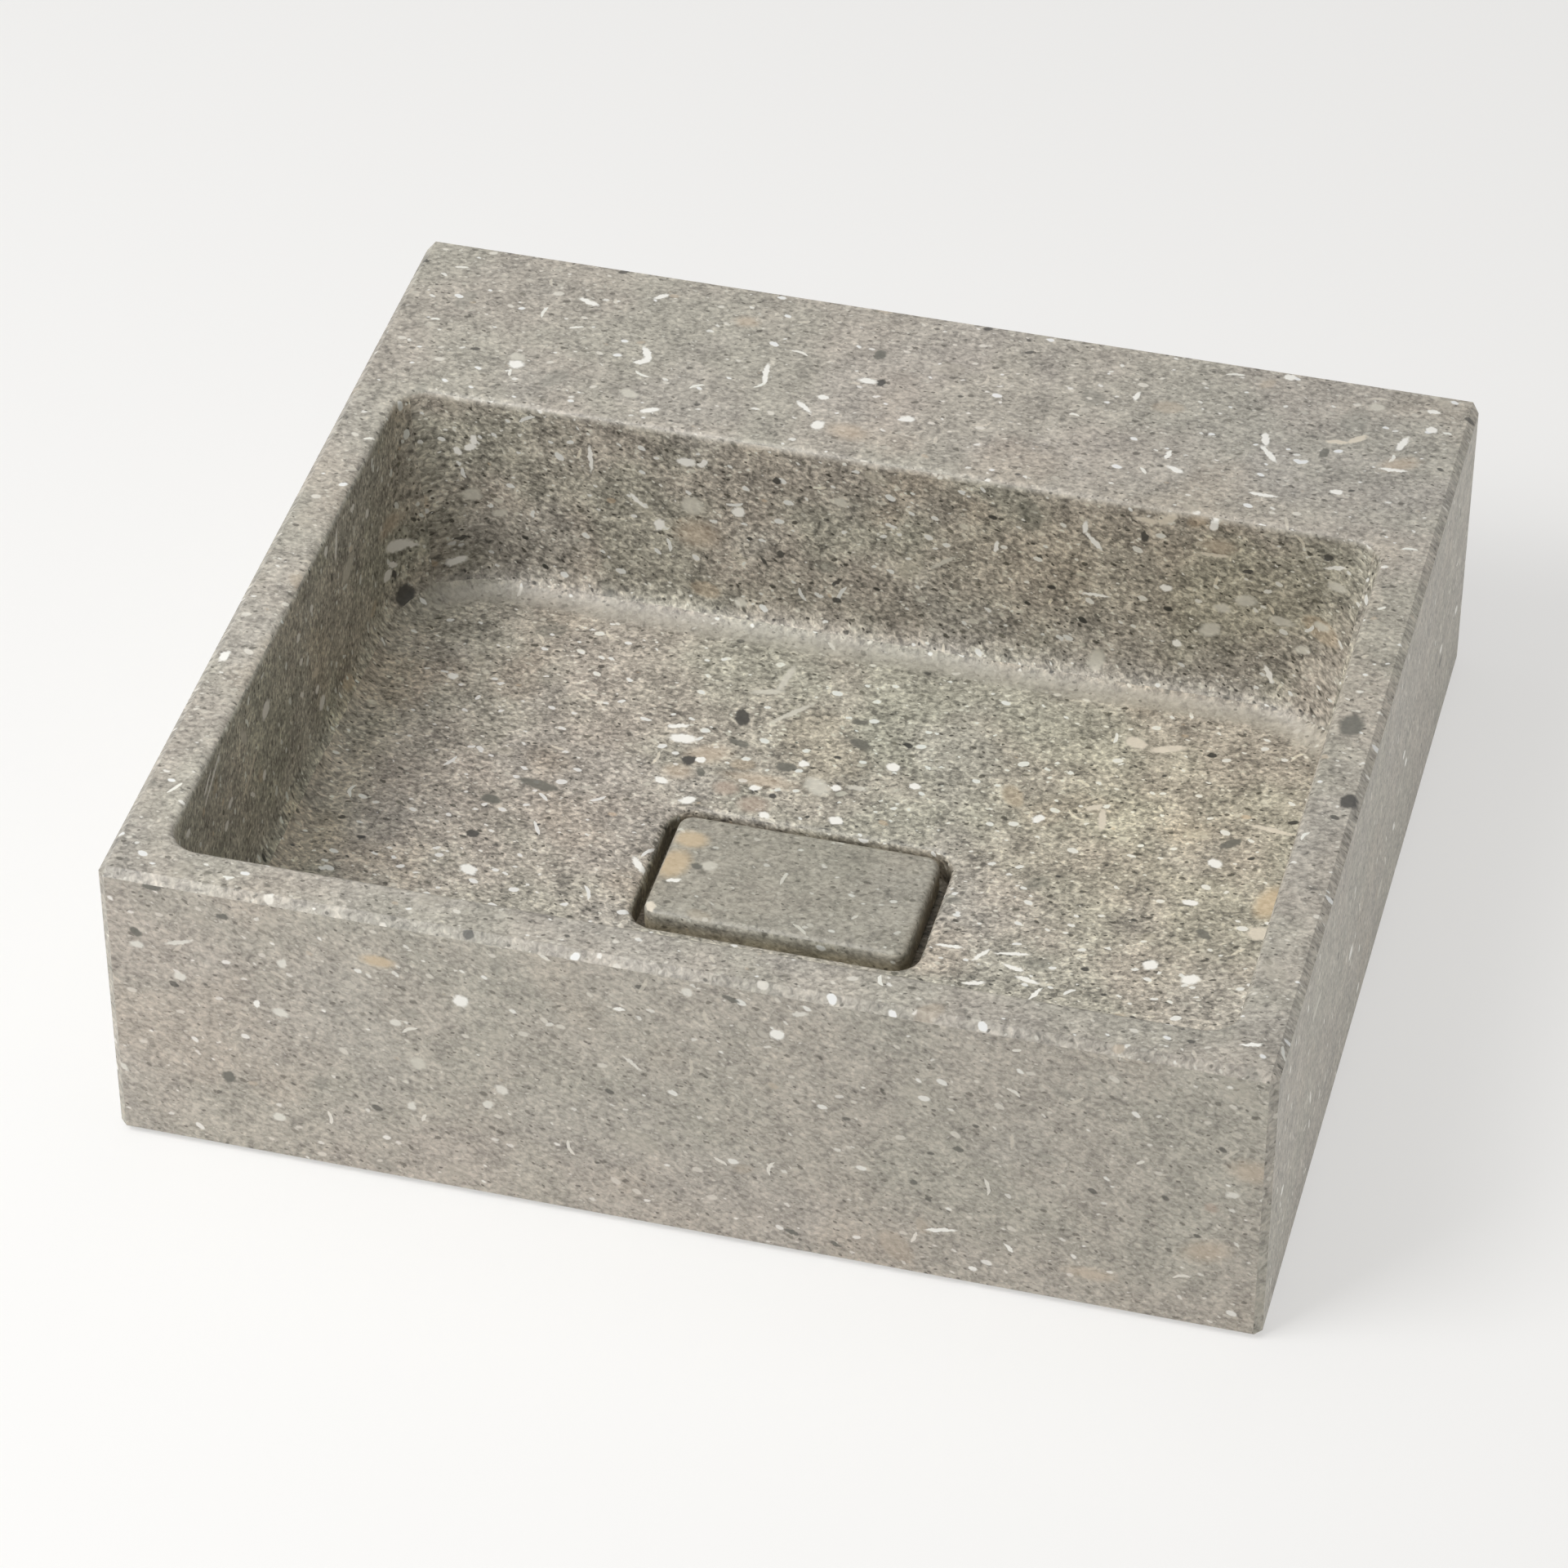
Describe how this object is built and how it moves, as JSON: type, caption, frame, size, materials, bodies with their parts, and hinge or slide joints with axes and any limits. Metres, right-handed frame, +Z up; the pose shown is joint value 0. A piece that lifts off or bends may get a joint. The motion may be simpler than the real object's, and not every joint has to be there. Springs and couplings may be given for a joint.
{
  "type": "vessel sink",
  "caption": "Rectangular stone vessel sink with a carved bowl, a rear deck and a loose stone drain cover over a flanged waste.",
  "frame": {"origin": "middle of the block's underside, on the surface that the sink stands on", "axes": "+X to the right along the front face, +Y towards the rear deck, +Z up"},
  "size_m": [0.48, 0.447, 0.1425],
  "materials": {
    "stone": "honed grey conglomerate with pale shell fragments and dark pebbles",
    "metal": "brushed stainless steel",
    "brass": "plain machined brass",
    "silicone": "translucent grey silicone",
    "seal": "black rubber",
    "nylon": "natural nylon"
  },
  "bodies": {
    "basin": {"basin_block": "stone", "waste_body": "metal", "strainer_plate": "metal", "strainer_screw": "metal", "flange_gasket": "seal", "nut_gasket": "seal", "slip_washer": "nylon", "back_nut": "brass"},
    "cover": {"drain_cover": "stone", "cover_pad_1": "silicone", "cover_pad_2": "silicone", "cover_pad_3": "silicone", "cover_pad_4": "silicone"}
  },
  "joints": [
    {"name": "cover_lift", "type": "slide", "parent": "basin", "child": "cover", "axis": [0, 0, 1], "range_m": [0, 0.14]}
  ]
}
